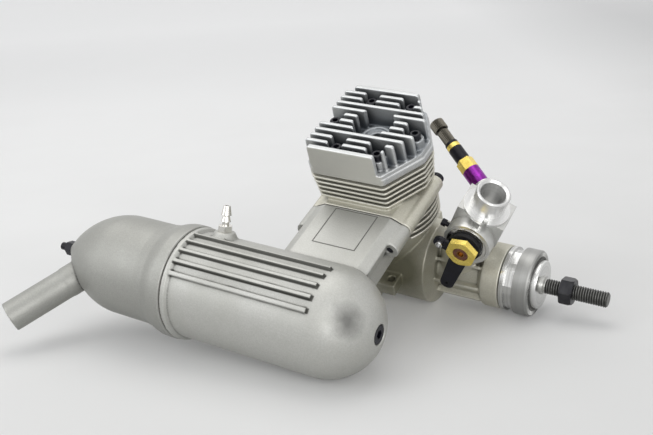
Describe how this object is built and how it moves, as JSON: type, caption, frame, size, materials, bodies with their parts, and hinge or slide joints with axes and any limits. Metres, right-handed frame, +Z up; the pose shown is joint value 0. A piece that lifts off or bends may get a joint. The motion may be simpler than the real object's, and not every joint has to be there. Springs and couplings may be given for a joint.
{
  "type": "model aircraft engine",
  "caption": "Single-cylinder glow engine with finned head, barrel carburettor, remote needle valve, drive hub and a side silencer with a tail pipe.",
  "frame": {"origin": "where the crankshaft axis meets the cylinder axis", "axes": "+X along the crankshaft towards the propeller, +Z up the cylinder, -Y towards the silencer"},
  "size_m": [0.2738, 0.1984, 0.1126],
  "materials": {
    "cast_aluminium": "bead blasted casting",
    "machined_aluminium": "turned or milled, satin",
    "black_steel": "black oxide",
    "ground_steel": "ground",
    "plated_steel": "bright nickel",
    "brass": "machined",
    "bronze": "sintered",
    "gasket": "pressed fibre",
    "copper": "soft sheet",
    "rubber": "moulded",
    "purple_anodised": "purple anodised",
    "red_plastic": "moulded"
  },
  "bodies": {
    "engine": {"crankcase": "cast_aluminium", "cylinder_liner": "ground_steel", "cylinder_head": "machined_aluminium", "head_gasket": "copper", "head_bolts": "black_steel", "backplate": "machined_aluminium", "backplate_gasket": "gasket", "backplate_screws": "black_steel", "rear_bearing": "ground_steel", "front_bearing": "ground_steel", "carb_body": "machined_aluminium", "carb_throat": "machined_aluminium", "carb_seal": "rubber", "carb_clamp_screw": "black_steel", "idle_stop_screw": "black_steel", "drum_retainer": "plated_steel", "fuel_nipple": "brass", "needle_collar": "purple_anodised", "needle_hex": "brass", "needle_sleeve": "black_steel", "needle_ring": "brass", "ratchet_spring": "black_steel", "exhaust_gasket": "gasket", "silencer_screws": "black_steel", "silencer_front": "cast_aluminium", "silencer_seal": "gasket", "silencer_rear": "cast_aluminium", "through_bolt": "black_steel", "through_nut": "black_steel", "pressure_nipple": "plated_steel"},
    "crank": {"crankshaft": "black_steel", "drive_collet": "machined_aluminium", "drive_hub": "machined_aluminium", "prop_washer": "machined_aluminium", "prop_nut": "black_steel"},
    "throttle": {"throttle_drum": "machined_aluminium", "drum_boot": "rubber", "throttle_arm": "black_steel", "throttle_nut": "brass", "arm_screw": "ground_steel"},
    "idle_mixture": {"idle_mixture_screw": "red_plastic"},
    "needle": {"needle_stem": "ground_steel", "needle_knob": "black_steel"},
    "piston": {"piston": "machined_aluminium", "wrist_pin": "ground_steel", "pin_clips": "black_steel"},
    "rod": {"connecting_rod": "machined_aluminium", "rod_bushes": "bronze"}
  },
  "joints": [
    {"name": "crank_spin", "type": "hinge", "parent": "engine", "child": "crank", "pos_m": [0, 0, 0], "axis": [1, 0, 0], "continuous": true},
    {"name": "piston_slide", "type": "slide", "parent": "engine", "child": "piston", "axis": [0, 0, 1], "range_m": [-0.024, 0]},
    {"name": "rod_swing", "type": "hinge", "parent": "piston", "child": "rod", "pos_m": [0, 0, 0.058], "axis": [1, 0, 0], "range_deg": [-15.12, 15.12]},
    {"name": "throttle_turn", "type": "hinge", "parent": "engine", "child": "throttle", "pos_m": [0.05, 0, 0.0335], "axis": [0, -1, 0], "range_deg": [0, 80]},
    {"name": "idle_mixture_turn", "type": "hinge", "parent": "throttle", "child": "idle_mixture", "pos_m": [0.05, -0.02, 0.0335], "axis": [0, -1, 0], "range_deg": [0, 1080]},
    {"name": "needle_turn", "type": "hinge", "parent": "engine", "child": "needle", "pos_m": [0.05, 0.0198, 0.0335], "axis": [-0.7644, 0.5476, 0.3403], "range_deg": [0, 1080]}
  ]
}
